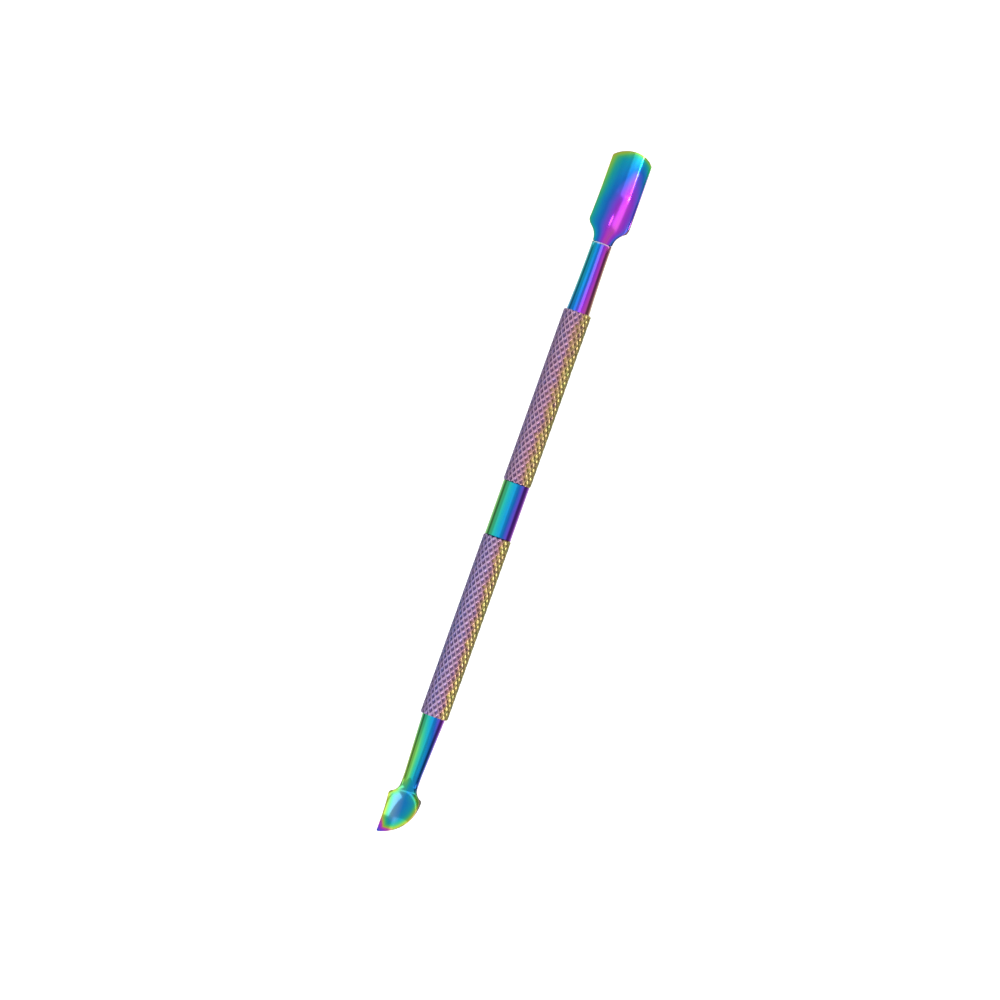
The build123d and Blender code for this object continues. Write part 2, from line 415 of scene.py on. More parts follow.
# %% Spin a profile round the axis
facing = np.radians(9)


def spin(name, profile, stripes, painted_highlight_at=None, around=256, material=polished, sleeve=False):
    angle = np.linspace(-np.pi, np.pi, around, endpoint=False)
    x, radius = np.array(profile).T[:, :, None]
    across = -np.sin(angle + facing)
    height = np.cos(angle + facing)
    along = np.broadcast_to(x, (len(profile), around))
    rings = np.stack([along, radius * across, axis_z + radius * height], axis=2)
    phase = film_stripes(stripes, x, angle)
    painted_highlight = np.zeros(phase.shape)
    if painted_highlight_at is not None:
        painted_highlight += painted_highlight_at(x, angle)
    return skin(name, rings, phase, painted_highlight, material, sleeve)


def film_stripes(stripes, x, angle):
    """Blends the stripe lists, one for each place along the piece, at every x and angle."""
    degrees = np.degrees(angle)
    places = [place for place, _ in stripes]
    lists = []
    for _, stripe in stripes:
        at, phase = np.array(stripe, float).T
        at, phase = np.r_[at - 360, at, at + 360], np.r_[phase - 1, phase, phase + 1]
        lists.append(np.interp(degrees, at, phase))
    share = np.interp(x.ravel(), places, range(len(places)))
    low = np.minimum(share.astype(int), len(places) - 1)
    high = np.minimum(low + 1, len(places) - 1)
    part = (share - low)[:, None]
    lists = np.array(lists)
    return lists[low] * (1 - part) + lists[high] * part


# %% [markdown]
# ### Upper shank
# A slow taper from the grip to the neck. Its edge at the neck is chamfered. A pale steel colour is
# painted on that edge, most of it a little right of the top: the bright line across the neck is a
# painted highlight.

# %% Turn the upper shank
shank_radius = 2.2 * mm
neck_radius = 1.9 * mm
neck_chamfer = 0.3 * mm
upper_shank_x = upper_grip_high.x


def taper(start, end, start_radius, end_radius, steps):
    """A profile that leaves its end along the axis and widens slowly to its start."""
    x = np.linspace(start, end, steps)
    widening = ((end - x) / (end - start)) ** 2
    return np.stack([x, end_radius + (start_radius - end_radius) * widening], axis=1)


def painted_rim_highlight(place, width, most_at=0.6):
    """A painted highlight round a rim: a pale steel colour, most of it a little to the right of the
    top.
    """
    def painted_highlight_at(x, angle):
        across = np.clip(1 - np.abs(x - place) / width, 0, 1)
        return across * (0.6 + 0.4 * np.cos(angle - most_at))

    return painted_highlight_at


grip_end_stripe = [
    # degrees from the top to the right, film phase
    (-72, .36), (-50, .43), (-33, .465), (-19, .535), (-6, .62), (6, .705), (19, .79),
    (33, .86), (50, .925), (72, .95), (180, 1.12),
]
neck_stripe = [
    (-72, .27), (-53, .31), (-41, .335), (-26, .405), (-13, .465), (-6, .52), (0, .575),
    (13, .665), (26, .77), (41, .85), (62, .92), (72, .95), (180, 1.08),
]
shank_profile = [
    *taper(upper_shank_x, neck_x - neck_chamfer, shank_radius, neck_radius, 90),
    (neck_x - neck_chamfer * 0.66, neck_radius - 0.05 * mm),
    (neck_x - neck_chamfer * 0.33, neck_radius - 0.13 * mm),
    (neck_x, neck_radius - neck_chamfer),
]
upper_shank = spin(
    "upper_shank_turned",
    shank_profile,
    [
        (upper_shank_x, grip_end_stripe),
        (upper_shank_x + 6 * mm, neck_stripe),
        (neck_x, neck_stripe),
    ],
    # A painted highlight on the neck's chamfer.
    painted_highlight_at=painted_rim_highlight(neck_x - neck_chamfer * 0.5, neck_chamfer * 0.7),
)
finish_piece(upper_shank, "upper_shank")

# %% [markdown]
# ### Centre band
# A plain polished sleeve between the grips, green on one side and violet on the other. Its rims
# are eased by less than a tenth of a millimetre, so that they catch the light.

# %% Turn the centre band
band_radius = (band_high.y - band_low.y) / 2
sleeve_bore = 1.73 * mm
eased = 0.08 * mm


def sleeve_profile(low, high, radius, edge, steps):
    x = np.linspace(low + edge, high - edge, steps)
    return [
        (low, sleeve_bore),
        (low, radius - edge),
        *[(place, radius) for place in x],
        (high, radius - edge),
        (high, sleeve_bore),
    ]


band_stripe = [
    (-72, .08), (-50, .13), (-33, .205), (-19, .295), (-6, .355), (6, .41), (13, .445),
    (19, .515), (26, .57), (41, .65), (50, .685), (62, .74), (180, .93),
]
centre_band = spin(
    "centre_band_turned",
    sleeve_profile(band_low.x, band_high.x, band_radius, eased, 60),
    [(band_low.x, band_stripe)],
    sleeve=True,
)
finish_piece(centre_band, "centre_band")

# %% [markdown]
# ## Knurled grips
# A knurl is two families of raised lines that cross: fifteen lines wind one way round the grip,
# fifteen the other way. Cutting thousands of diamond pits by hand would be endless, so Geometry
# Nodes presses them instead. The tree takes a plain sleeve, works out how far each point is from
# the nearest line of either family, and sinks the points between the lines.

# %% Build the knurling tree
grip_chamfer = 0.2 * mm
grip_lines = 15
line_spacing = 1.7 * mm
knurl_inputs = [
    ("Lines each way", "NodeSocketInt", grip_lines),
    ("Spacing along the tool", "NodeSocketFloat", line_spacing),
    ("Depth", "NodeSocketFloat", 0.19 * mm),
    ("Line width", "NodeSocketFloat", 0.8),
    ("Grip radius", "NodeSocketFloat", 2.65 * mm),
    ("Edge", "NodeSocketFloat", grip_chamfer),
    ("Axis height", "NodeSocketFloat", axis_z),
    ("Finish", "NodeSocketMaterial", None),
]


def knurling_tree():
    tree = bpy.data.node_groups.new("knurling", "GeometryNodeTree")
    tree.interface.new_socket("Geometry", in_out="INPUT", socket_type="NodeSocketGeometry")
    tree.interface.new_socket("Geometry", in_out="OUTPUT", socket_type="NodeSocketGeometry")
    for name, kind, value in knurl_inputs:
        socket = tree.interface.new_socket(name, in_out="INPUT", socket_type=kind)
        if value is not None:
            socket.default_value = value
    bench = Bench(tree)
    given = tree.nodes.new("NodeGroupInput")
    wire = {socket.name: Wire(tree, socket) for socket in given.outputs if socket.name}
    place = bench.node("GeometryNodeInputPosition")
    parts = bench.node("ShaderNodeSeparateXYZ", values={"Vector": place}).socket.node.outputs
    x, y = Wire(tree, parts["X"]), Wire(tree, parts["Y"])
    z = Wire(tree, parts["Z"]) - wire["Axis height"]
    radius = (y * y + z * z).sum("SQRT", y * y + z * z)
    turns = y.sum("ARCTAN2", y, z) / (2 * np.pi) * wire["Lines each way"]
    along = x / wire["Spacing along the tool"]
    one_way = (turns + along).sum("FRACT", turns + along)
    other_way = (turns - along).sum("FRACT", turns - along)
    nearest = one_way.sum("MAXIMUM", abs(one_way - 0.5), abs(other_way - 0.5)) * 2
    ridge = bench.node(
        "ShaderNodeMapRange",
        {"interpolation_type": "SMOOTHSTEP"},
        {"Value": nearest, "From Min": 1 - wire["Line width"],
         "From Max": 1 - wire["Line width"] * 0.15},
    )
    outside = radius.sum("GREATER_THAN", radius, wire["Grip radius"] - wire["Edge"] * 1.02)
    sunk = (1 - ridge) * wire["Depth"] * outside / radius
    offset = bench.node("ShaderNodeCombineXYZ", values={"Y": y * sunk * -1, "Z": z * sunk * -1})
    pressed = bench.node(
        "GeometryNodeSetPosition", values={"Geometry": wire["Geometry"], "Offset": offset}
    )
    marked = bench.node(
        "GeometryNodeStoreNamedAttribute",
        {"data_type": "FLOAT", "domain": "POINT"},
        {"Geometry": pressed, "Name": "ridge", "Value": ridge},
    )
    real = bench.node("GeometryNodeRealizeInstances", values={"Geometry": marked})
    coated = bench.node(
        "GeometryNodeSetMaterial", values={"Geometry": real, "Material": wire["Finish"]}
    )
    result = tree.nodes.new("NodeGroupOutput")
    tree.links.new(coated.socket, result.inputs[0])
    return tree


knurling = knurling_tree()
print("knurling tree:", len(knurling.nodes), "nodes")

# %% Press the knurl into a sleeve
points_per_line = 16


def knurled_grip(name, low, high, stripes):
    steps = int(round((high.x - low.x) / line_spacing * points_per_line)) + 1
    radius = (high.y - low.y) / 2
    x = np.linspace(low.x, high.x, steps)
    edge = np.clip(grip_chamfer - np.minimum(x - low.x, high.x - x), 0, None)
    profile = [(low.x, sleeve_bore), *zip(x, radius - edge), (high.x, sleeve_bore)]
    around = grip_lines * points_per_line
    piece = spin(name, profile, stripes, around=around, material=knurled, sleeve=True)
    press = piece.modifiers.new("knurl", "NODES")
    press.node_group = knurling
    given = {"Lines each way": grip_lines, "Spacing along the tool": line_spacing,
             "Grip radius": radius, "Edge": grip_chamfer, "Axis height": axis_z,
             "Finish": knurled}
    for socket in knurling.interface.items_tree:
        if socket.in_out == "INPUT" and socket.name in given:
            press[socket.identifier] = given[socket.name]
    shaped = piece.evaluated_get(bpy.context.evaluated_depsgraph_get())
    mesh = bpy.data.meshes.new_from_object(shaped)
    mesh.name = name
    piece.modifiers.clear()
    piece.data = mesh
    mesh.shade_smooth()
    return piece


# %% [markdown]
# The knurl shows the far end of the rainbow: mauve on one side, pink towards the middle, gold on
# the other side. The lower grip is a little bluer than the upper one.

# %% Make both grips
upper_stripe = [
    (-72, .66), (-30, .72), (0, .80), (17, .88), (27, .93), (40, .97), (58, 1.0), (72, 1.02),
    (180, 1.30),
]
lower_stripe = [
    (-72, .60), (-30, .62), (0, .70), (17, .82), (27, .90), (40, .97), (58, 1.0), (72, 1.02),
    (180, 1.28),
]
upper_grip, lower_grip = (
    knurled_grip(f"{node}_knurled", low, high, [(low.x, stripe)])
    for node, low, high, stripe in (
        ("upper_grip", upper_grip_low, upper_grip_high, upper_stripe),
        ("lower_grip", lower_grip_low, lower_grip_high, lower_stripe),
    )
)
finish_piece(upper_grip, "upper_grip")
finish_piece(lower_grip, "lower_grip")

# %% [markdown]
# ## Ground heads
# A head is not turned: it is forged, then ground to an outline, then hollowed with a round wheel.
# So each cross-section is made of four lines: the round back, the hollow above it, and the two
# side walls where the outline cuts them off. The helper below takes those as functions of the
# place along the tool and returns one closed ring, with its rims eased by a few hundredths.

# %% One section of a head
rim_ease = 0.09 * mm
thinnest = 0.05 * mm
across_steps = 44
trial_cuts = 401


def section(x, left, right, back, hollow):
    """left and right: the outline there. back(y), hollow(y): heights below and above."""
    y = np.linspace(left, right, trial_cuts)
    solid = hollow(y) - back(y) > thinnest
    left, right = y[solid].min(), y[solid].max()
    middle, half = (left + right) / 2, (right - left) / 2
    low_rim = {side: back(np.array([side]))[0] for side in (left, right)}
    high_rim = {side: hollow(np.array([side]))[0] for side in (left, right)}
    wall = min(high_rim[side] - low_rim[side] for side in (left, right))
    ease = min(rim_ease, 0.3 * wall, 0.2 * half)
    spread = np.sin(np.linspace(-np.pi / 2, np.pi / 2, across_steps))
    y = middle + (half - ease) * spread
    ring = [np.stack([y, back(y)], axis=1)]
    for side, step in ((right, 1), (left, -1)):
        low, high = low_rim[side], high_rim[side]
        heights = np.array([low + ease, (low + high) / 2, high - ease])
        ring.append(np.stack([np.full(3, side), heights], axis=1)[::step])
        if side == right:
            ring.append(np.stack([y, hollow(y)], axis=1)[::-1])
    ring = np.vstack(ring)
    return np.column_stack([np.full(len(ring), x), ring[:, 0], axis_z + ring[:, 1]])


# %% An outline with rounded corners
def rounded(points, radii):
    """Points of an outline whose corners are replaced by arcs of the radii given."""
    line = [np.array(points[0])]
    for before, corner, after, radius in zip(points, points[1:], points[2:], radii):
        before, corner, after = map(np.array, (before, corner, after))
        back = (before - corner) / np.linalg.norm(before - corner)
        on = (after - corner) / np.linalg.norm(after - corner)
        half = np.arccos(np.clip(back @ on, -1, 1)) / 2
        reach = radius / np.tan(half)
        centre = corner + (back + on) / np.linalg.norm(back + on) * radius / np.sin(half)
        start, end = corner + back * reach - centre, corner + on * reach - centre
        for share in np.linspace(0, 1, 12):
            spoke = start * (1 - share) + end * share
            line.append(centre + spoke / np.linalg.norm(spoke) * radius)
    line.append(np.array(points[-1]))
    return np.array(line)


def on_circle(centre, radius, start, end, steps):
    angle = np.linspace(np.arctan2(*(np.array(start) - centre)[::-1]),
                        np.arctan2(*(np.array(end) - centre)[::-1]), steps)
    return np.array(centre) + radius * np.stack([np.cos(angle), np.sin(angle)], axis=1)


def stations(start, end, steps, ease=1.0):
    """Places along a head, closer together towards the end, where the outline turns in."""
    share = np.linspace(0, 1, steps)
    return start + (end - start) * (share * (1 - ease) + ease * np.sin(share * np.pi / 2))


# %% [markdown]
# ### Spoon head
# The spoon is a shallow dish with nearly straight sides and a curved edge. Its hollow runs down
# into the neck as a channel, and its back turns up a little towards the edge.

# %% Lay out the spoon
spoon_half = (spoon_high.y - spoon_low.y) / 2
spoon_tip_radius, spoon_corner = 5.0 * mm, 0.8 * mm
spoon_side = spoon_tip_x - 14.8 * mm
spoon_neck_half = neck_radius + 0.7 * mm
spoon_slant = (spoon_half - spoon_neck_half) / np.tan(np.radians(48))
tip_centre = (spoon_tip_x - spoon_tip_radius, 0.0)
corner_y = spoon_half - spoon_corner
corner_x = tip_centre[0] + np.sqrt((spoon_tip_radius - spoon_corner) ** 2 - corner_y**2)
corner_reach = spoon_tip_radius / (spoon_tip_radius - spoon_corner)
arc_start = (tip_centre[0] + (corner_x - tip_centre[0]) * corner_reach, corner_y * corner_reach)
spoon_side_line = rounded(
    [(neck_x, spoon_neck_half), (spoon_side - spoon_slant, spoon_neck_half),
     (spoon_side, spoon_half), (corner_x, spoon_half)],
    [1.6 * mm, 1.8 * mm],
)
spoon_outline = np.vstack([
    spoon_side_line,
    on_circle((corner_x, corner_y), spoon_corner, (corner_x, spoon_half), arc_start, 12),
    on_circle(tip_centre, spoon_tip_radius, arc_start, (spoon_tip_x, 0.0), 60),
])
print("spoon outline:", len(spoon_outline), "points")

# %% Grind the spoon
spoon_belly_x = spoon_tip_x - 8.0 * mm
spoon_back_radius, spoon_hollow_radius = 4.8 * mm, 5.4 * mm
spoon_flare_radius = 3.2 * mm
spoon_tip_lift = 0.35 * mm
spoon_floor = 0.8 * mm - belly_depth
channel_rise = 0.75 * mm - spoon_floor
channel_length = spoon_belly_x - neck_x
channel_curve = (channel_length**2 + channel_rise**2) / (2 * channel_rise)


def flare(distance, start_radius, flare_radius):
    """Radius of the turned flare at that distance past the neck; wide once it has opened."""
    inside = np.clip(distance, 0, flare_radius * 0.999)
    return start_radius + flare_radius - np.sqrt(flare_radius**2 - inside**2)


def round_wheel(y, radius):
    return radius - np.sqrt(np.clip(radius**2 - y**2, 0, None))


def spoon_section(x):
    half = np.interp(x, spoon_outline[:, 0], spoon_outline[:, 1])
    turned = flare(x - neck_x, neck_radius, spoon_flare_radius)
    lift = spoon_tip_lift * (max(x - spoon_belly_x, 0) / (spoon_tip_x - spoon_belly_x)) ** 2
    dip = max(spoon_belly_x - x, 0)
    floor = spoon_floor + channel_curve - np.sqrt(channel_curve**2 - dip**2)

    def back(y):
        side = np.sqrt(np.clip(turned**2 - y**2, 0, None))
        return np.maximum(lift - belly_depth + round_wheel(y, spoon_back_radius), -side)

    def hollow(y):
        side = np.sqrt(np.clip(turned**2 - y**2, 0, None))
        return np.minimum(floor + round_wheel(y, spoon_hollow_radius), side)

    return section(x, -half, half, back, hollow)


spoon_places = np.r_[
    np.linspace(neck_x, spoon_side + 1 * mm, 90),
    stations(spoon_side + 1 * mm, spoon_tip_x - 0.004 * mm, 130)[1:],
]
spoon_rings = np.array([spoon_section(x) for x in spoon_places])

# %% [markdown]
# The oxide on the spoon is thinnest along its curved edge and its left side, which glow
# yellow-green, and thickest a little right of the middle. It grows from the tip to the neck, so
# the dish runs from cyan through violet to magenta. Each row of the plan is one cut across it.

# %% Coat the spoon
on_wall = np.r_[across_steps:across_steps + 3, 2 * across_steps + 3:2 * across_steps + 6]
wall_phase, rim_phase = -0.09, -0.02
side_rim, edge_rim = 0.12 * mm, 0.45 * mm
cut_places = [-0.9, -0.72, -0.45, 0.0, 0.35, 0.65, 0.9]
spoon_film = [
    # share of the length from the tip, then the phase at each place across, left to right
    (0.00, (-.02, .00, .08, .21, .26, .19, .05)),
    (0.05, (.00, .05, .17, .31, .33, .31, .15)),
    (0.10, (.02, .18, .32, .36, .39, .39, .28)),
    (0.22, (.08, .27, .38, .46, .60, .55, .45)),
    (0.43, (.16, .33, .47, .64, .75, .69, .58)),
    (0.57, (.24, .40, .52, .72, .81, .75, .62)),
    (0.70, (.28, .40, .52, .76, .83, .73, .63)),
    (1.00, (.30, .40, .55, .79, .85, .70, .50)),
]


def spoon_phase(rings):
    along = (spoon_tip_x - rings[:, :, 0]) / (spoon_tip_x - neck_x)
    half = np.abs(rings[:, :, 1]).max(axis=1, keepdims=True)
    across = -rings[:, :, 1] / np.maximum(half, 0.4 * mm)
    places, cuts = zip(*spoon_film)
    cuts = np.array([np.interp(along[:, 0], places, cut) for cut in zip(*cuts)]).T
    phase = np.array([np.interp(row, cut_places, cut) for row, cut in zip(across, cuts)])
    from_side = np.where(across < 0, (across + 1) * half, half)
    from_edge = spoon_tip_radius - np.hypot(rings[:, :, 0] - tip_centre[0], rings[:, :, 1])
    from_edge = np.where(rings[:, :, 0] > tip_centre[0], from_edge, spoon_tip_radius)
    rim = np.exp(-np.minimum(from_side / side_rim, from_edge / edge_rim))
    phase = phase * (1 - rim) + rim_phase * rim
    phase[:, on_wall] = wall_phase
    return phase


spoon = skin("spoon_ground", spoon_rings, spoon_phase(spoon_rings),
             np.zeros(spoon_rings.shape[:2]), polished)
finish_piece(spoon, "spoon_head")

# %% [markdown]
# ### Blade
# The blade and the lower shank are one piece. The shank narrows to a waist, flares into a leaf,
# and a grinding wheel has run from the top of the waist down into the leaf: that leaves the
# pointed start of the hollow on the shank, and a dish with a thin rim. The leaf has its point to
# one side: one edge runs straight to it, the other curves up to it.

# %% Lay out the blade
shank_end_x = lower_grip_low.x
waist_x = shank_end_x - 11.5 * mm
waist_radius = 1.65 * mm
blade_neck_half = waist_radius + 0.5 * mm
point_side, curved_side = 3.15 * mm, 2.95 * mm
nominal_tip_x = waist_x - 12.0 * mm
leaf_x = nominal_tip_x + 7.85 * mm
slant = np.tan(np.radians(52))
point_radius = 0.2 * mm
edge_start, edge_end = np.array((leaf_x, -curved_side)), np.array((nominal_tip_x, point_side))
chord = edge_end - edge_start
bulge = 1.8 * mm
edge_radius = (chord @ chord / 4 + bulge**2) / (2 * bulge)
inward = np.array((chord[1], -chord[0])) / np.linalg.norm(chord)
edge_centre = (edge_start + edge_end) / 2 + inward * (edge_radius - bulge)
point_y = point_side - point_radius
sideways = point_y - edge_centre[1]
point_x = edge_centre[0] - np.sqrt((edge_radius - point_radius) ** 2 - sideways**2)
point_centre = np.array((point_x, point_y))
meets = edge_centre + (point_centre - edge_centre) * edge_radius / (edge_radius - point_radius)
edge_stop = np.arctan2(*(meets - edge_centre)[::-1]) % (2 * np.pi) - 2 * np.pi
edge_angles = np.linspace(np.radians(-97), edge_stop, 80)

straight_edge = np.vstack([
    rounded([(waist_x, blade_neck_half),
             (leaf_x + (point_side - blade_neck_half) / slant, blade_neck_half),
             (leaf_x, point_side), (point_x, point_side)], [0.8 * mm, 0.9 * mm]),
    on_circle(point_centre, point_radius, (point_x, point_side),
              (point_x - point_radius, point_y), 12),
])
curved_edge = np.vstack([
    rounded([(waist_x, -blade_neck_half),
             (leaf_x + (curved_side - blade_neck_half) / slant, -blade_neck_half),
             edge_start, edge_start + np.array((-2.0, -0.07)) * mm], [0.8 * mm, 0.9 * mm])[:-1],
    edge_centre + edge_radius * np.stack([np.cos(edge_angles), np.sin(edge_angles)], axis=1),
    [(point_x - point_radius, point_y)],
])
print("blade point at", (point_centre / mm).round(2))

# %% Grind the blade
blade_back_radius, blade_hollow_radius = 4.2 * mm, 4.6 * mm
blade_flare_radius = 2.0 * mm
blade_flare_x = waist_x - 2.05 * mm
blade_belly_x = nominal_tip_x + 4.5 * mm
blade_point_lift = 0.5 * mm
blade_floor = 0.7 * mm - belly_depth
dish_curve, run_out_curve = 8.5 * mm, 4.5 * mm
dip_angle = np.arccos(1 - (waist_radius - blade_floor) / (dish_curve + run_out_curve))
dish_end_x = waist_x - (dish_curve + run_out_curve) * np.sin(dip_angle)
run_out_x = waist_x - run_out_curve * np.sin(dip_angle)


def wheel_path(x):
    """Height of the bottom of the wheel, and its slope, at that place."""
    if x >= waist_x:
        return 1.0, 0.0
    if x > run_out_x:
        lean = np.arcsin((waist_x - x) / run_out_curve)
        return waist_radius - run_out_curve * (1 - np.cos(lean)), lean
    if x > dish_end_x:
        lean = np.arcsin((x - dish_end_x) / dish_curve)
        return blade_floor + dish_curve * (1 - np.cos(lean)), lean
    return blade_floor, 0.0


def blade_section(x):
    right = np.interp(-x, -straight_edge[:, 0], straight_edge[:, 1])
    left = np.interp(-x, -curved_edge[:, 0], curved_edge[:, 1])
    if x >= waist_x:
        widening = (x - waist_x) / (shank_end_x - waist_x)
        turned = waist_radius + (shank_radius - waist_radius) * widening
        left, right = -turned, turned
    else:
        turned = flare(blade_flare_x - x, waist_radius, blade_flare_radius)
    lift = blade_point_lift * (max(blade_belly_x - x, 0) / (blade_belly_x - nominal_tip_x)) ** 2
    floor, lean = wheel_path(x)

    def back(y):
        side = np.sqrt(np.clip(turned**2 - y**2, 0, None))
        return np.maximum(lift - belly_depth + round_wheel(y, blade_back_radius), -side)

    def hollow(y):
        side = np.sqrt(np.clip(turned**2 - y**2, 0, None))
        return np.minimum(floor + round_wheel(y, blade_hollow_radius) / np.cos(lean), side)

    return section(x, left, right, back, hollow)


blade_places = np.r_[
    np.linspace(shank_end_x, waist_x, 60),
    np.linspace(waist_x, leaf_x, 110)[1:],
    stations(leaf_x, point_x - point_radius * 0.985, 150)[1:],
]
blade_rings = np.array([blade_section(x) for x in blade_places])

# %% [markdown]
# The coating on the shank is striped as on the other turned pieces. On the leaf it follows the
# rim: heat reached the thin rim first, so the rim is yellow-green, the dish behind it teal and
# blue, and the thin point has run on through gold and magenta to violet. On the point's side of
# the dish, away from the point itself, a pale steel colour is painted over the rainbow: a painted
# highlight.

# %% Coat the blade
shank_stripes = [
    (waist_x, [
        (-72, .00), (-45, .05), (-26, .09), (-13, .18), (0, .29), (13, .36), (26, .41), (41, .47),
        (58, .53), (72, .58), (180, .80),
    ]),
    (shank_end_x - 6.6 * mm, [
        (-72, .04), (-41, .065), (-26, .10), (-13, .19), (0, .27), (13, .34), (26, .41), (41, .48),
        (62, .58), (72, .63), (180, .85),
    ]),
    (shank_end_x, [
        (-72, .13), (-50, .18), (-33, .225), (-19, .29), (-6, .37), (6, .43), (13, .465),
        (19, .525), (26, .58), (41, .665), (50, .73), (72, .78), (180, .95),
    ]),
]
leaf_film = [
    # mm from the rim, film phase
    (0, -.02), (0.3, .01), (0.5, .08), (0.8, .19), (1.2, .31), (1.7, .37), (2.6, .43),
]
leaf_wall_phase = -0.03
point_reach, point_turn = 2.8 * mm, 0.46
painted_patch_share = 0.15


def distance_to(line, x, y):
    """Shortest way from every point to a line of many short pieces."""
    nearest = np.full(x.shape, 1.0)
    for start, end in zip(line, line[1:]):
        piece = end - start
        share = ((x - start[0]) * piece[0] + (y - start[1]) * piece[1]) / max(piece @ piece, 1e-12)
        share = np.clip(share, 0, 1)
        away = np.hypot(x - start[0] - share * piece[0], y - start[1] - share * piece[1])
        nearest = np.minimum(nearest, away)
    return nearest


def blade_coat(rings):
    """The film phase of the whole blade, and how much painted highlight, a pale steel colour, lies
    over it.
    """
    x, y, z = rings[:, :, 0], rings[:, :, 1], rings[:, :, 2] - axis_z
    angle = np.arctan2(-y, z) - facing
    angle = (angle + np.pi) % (2 * np.pi) - np.pi
    striped = np.array([
        film_stripes(shank_stripes, places[:1, None], row)[0] for places, row in zip(x, angle)
    ])
    outline = np.vstack([straight_edge, curved_edge[::-1]])
    outline = outline[outline[:, 0] < waist_x - 1 * mm]
    rim = distance_to(outline, x, y)
    to_point = np.hypot(x - point_x, y - point_y)
    leaf = np.interp(rim / mm, *zip(*leaf_film))
    leaf -= point_turn * np.clip(1 - to_point / point_reach, 0, 1) ** 1.3
    leaf[:, on_wall] = leaf_wall_phase
    share = np.clip((waist_x - 1.0 * mm - x) / (3.2 * mm), 0, 1)
    share = share * share * (3 - 2 * share)
    # A painted highlight on the point's side of the dish, away from the rim and the point.
    painted_patch = painted_patch_share * np.clip(y / mm / 1.5, 0, 1) * np.clip(rim / mm - 0.3, 0, 1) * share
    painted_patch *= np.clip((to_point / mm - 2.6) / 1.2, 0, 1)
    return striped * (1 - share) + leaf * share, painted_patch


blade = skin("blade_ground", blade_rings, *blade_coat(blade_rings), polished)
finish_piece(blade, "blade")

# %% [markdown]
# ## Studio
# A shiny tool shows its surroundings, so the studio is half of the finish. The tool lies on a white
# table under an even pale sky. Everything else in the studio is a sheet that glows more in one
# place than in another: dark greys for the cards, bright whites for the soft boxes.

# %% The table and the sky
def new_panel(name, points, faces, material):
    mesh = bpy.data.meshes.new(name)
    mesh.from_pydata(points, [], faces)
    mesh.materials.append(material)
    panel = bpy.data.objects.new(name, mesh)
    bpy.context.scene.collection.objects.link(panel)
    return panel


reach = 3.0
white = (1.0, 1.0, 1.0, 1.0)
table_paint, _, shader = new_material("table_paint")
for key, value in (("Base Color", (0.9, 0.9, 0.9, 1.0)), ("Roughness", 0.8),
                   ("Emission Color", white), ("Emission Strength", 0.8)):
    shader.inputs[key].default_value = value
table_corners = [(-reach, -reach, 0), (reach, -reach, 0), (reach, reach, 0), (-reach, reach, 0)]
new_panel("table", table_corners, [(0, 1, 2, 3)], table_paint)
world = bpy.data.worlds.new("sky")
bpy.context.scene.world = world
world.use_nodes = True
sky = world.node_tree.nodes["Background"]
sky.inputs["Color"].default_value = white
sky.inputs["Strength"].default_value = 0.72

# %% A sheet that glows more in one place than in another
def glowing_sheet(name, points, glow, cover=1.0):
    """glow: radiance at each point. cover: how much of what is behind the sheet it hides there."""
    rows, columns, _ = points.shape
    corner = (np.arange(rows - 1)[:, None] * columns + np.arange(columns - 1)).ravel()
    faces = np.stack([corner, corner + 1, corner + columns + 1, corner + columns], axis=1).tolist()
    peak = float(np.max(glow))
    paper, bench, shader = new_material(name)
    sheet = new_panel(name, points.reshape(-1, 3).tolist(), faces, paper)
    for key, values in (("glow", glow / peak), ("cover", cover)):
        attribute = sheet.data.attributes.new(key, "FLOAT", "POINT")
        spread = np.full((rows, columns), values, np.float32)
        attribute.data.foreach_set("value", spread.ravel())
    grey, hides = (
        bench.node("ShaderNodeAttribute", {"attribute_name": key}, output="Fac")
        for key in ("glow", "cover")
    )
    grey = bench.node("ShaderNodeCombineXYZ", values={"X": grey, "Y": grey, "Z": grey})
    plug(bench.tree, shader.inputs, [
        ("Base Color", (0, 0, 0, 1)), ("Emission Color", grey), ("Alpha", hides),
        ("Emission Strength", peak), ("Roughness", 1.0), ("Specular IOR Level", 0.0),
    ])
    sheet.visible_camera = False
    sheet.visible_shadow = False
    return sheet


# %% [markdown]
# A mirror on a white ground loses its shape, so a studio lays dark cards beside it. A grey mat lies
# under the whole tool, seen only by the tool itself, and beside the handle its edges are bent up.
# The right side is darker than the left one.

# %% Grey cards
cards = {
    # distance from the axis in mm, height in mm, glow
    "card_right": (-1, [
        (1, 0.02, .90), (4, 0.02, .80), (7, 0.02, .22), (15, 0.02, .15), (15, 3, .14),
        (15, 4.5, .22), (15, 7.5, .72),
    ]),
    "card_left": (1, [
        (1, 0.02, .95), (9, 0.02, .85), (15, 0.02, .35), (18, 0.02, .22), (18, 4, .20),
        (18, 5.5, .3), (18, 9, .72),
    ]),
}
mat_margin, mat_height, mat_glow = 12 * mm, 0.02 * mm, 0.2
mats = {
    "mat_foot": (blade_low.x - mat_margin, blade_flare_x),
    "mat_head": (neck_x, spoon_high.x + mat_margin),
}
for name, (side, path) in cards.items():
    distance, height, glow = np.array(path).T
    bend = [(side * d * mm, h * mm) for d, h in zip(distance, height)]
    points = np.array([[(x, y, z) for y, z in bend] for x in (blade_flare_x, neck_x)])
    glowing_sheet(name, points, glow).visible_diffuse = False
for name, ends in mats.items():
    points = np.array([[(x, y, mat_height) for y in (-mat_margin, mat_margin)] for x in ends])
    glowing_sheet(name, points, mat_glow).visible_diffuse = False
print(len(cards), "cards,", len(mats), "mats")

